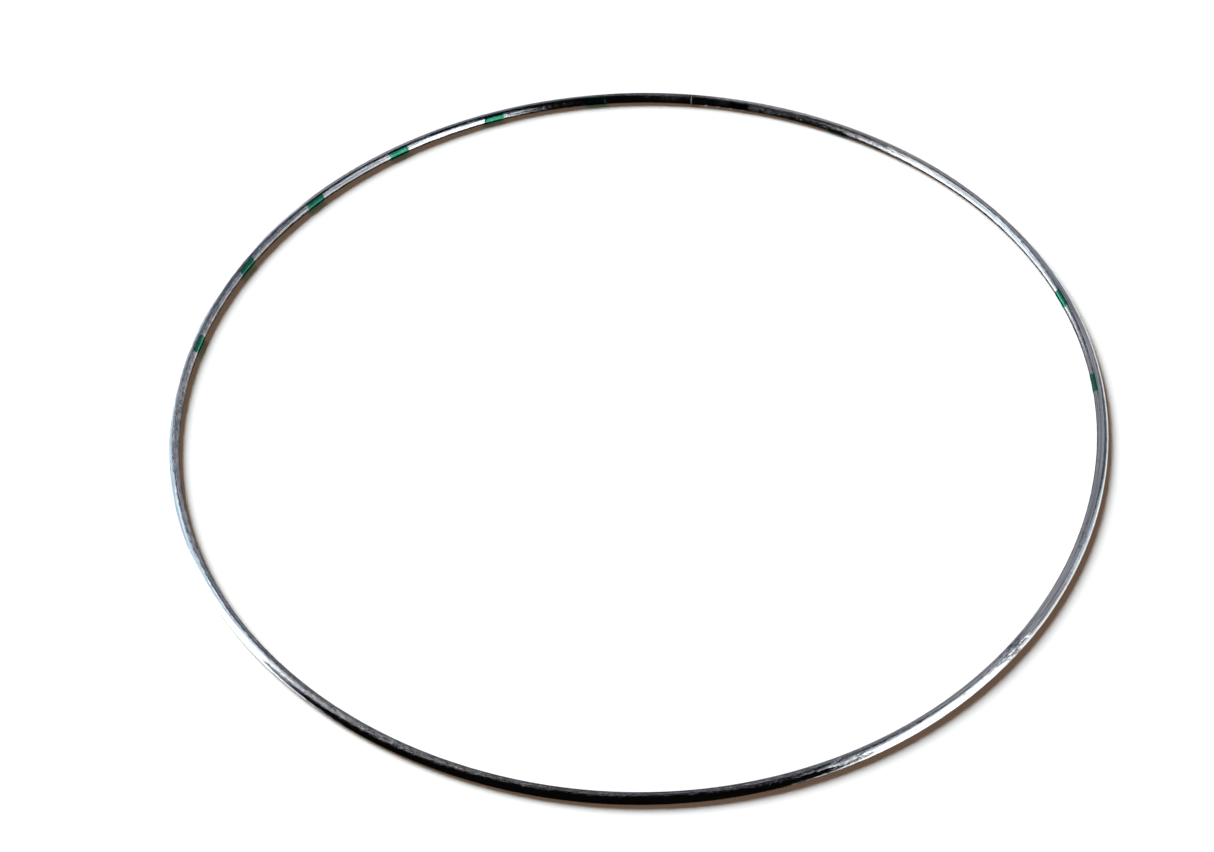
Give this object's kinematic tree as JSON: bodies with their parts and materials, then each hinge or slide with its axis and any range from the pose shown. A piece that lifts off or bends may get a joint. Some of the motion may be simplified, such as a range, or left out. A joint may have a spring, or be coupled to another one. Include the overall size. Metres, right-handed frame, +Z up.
{
  "type": "wreath frame",
  "caption": "Flat closed hoop of bright plated round steel wire, butt welded, that floral work is bound on to and hung from.",
  "frame": {"origin": "centre of the hoop, on the surface that it lies on", "axes": "+Z up out of the plane of the hoop; +Y from the centre to the weld; +X to the right with the weld at the far side"},
  "size_m": [0.253, 0.2531, 0.0031],
  "materials": {
    "plated_wire": "drawn steel wire with a bright zinc plate, fine draw lines, scuffs and dull patches",
    "weld_metal": "bare weld metal, dressed bright",
    "weld_flash": "small oxidised drops with bright tips",
    "green_lacquer": "thin transparent green lacquer over bright plate, worn at the ends"
  },
  "bodies": {
    "root": {"hoop_wire": "plated_wire", "weld_bead": "weld_metal", "flash_drops": "weld_flash", "lacquer_marks": "green_lacquer"}
  },
  "joints": []
}
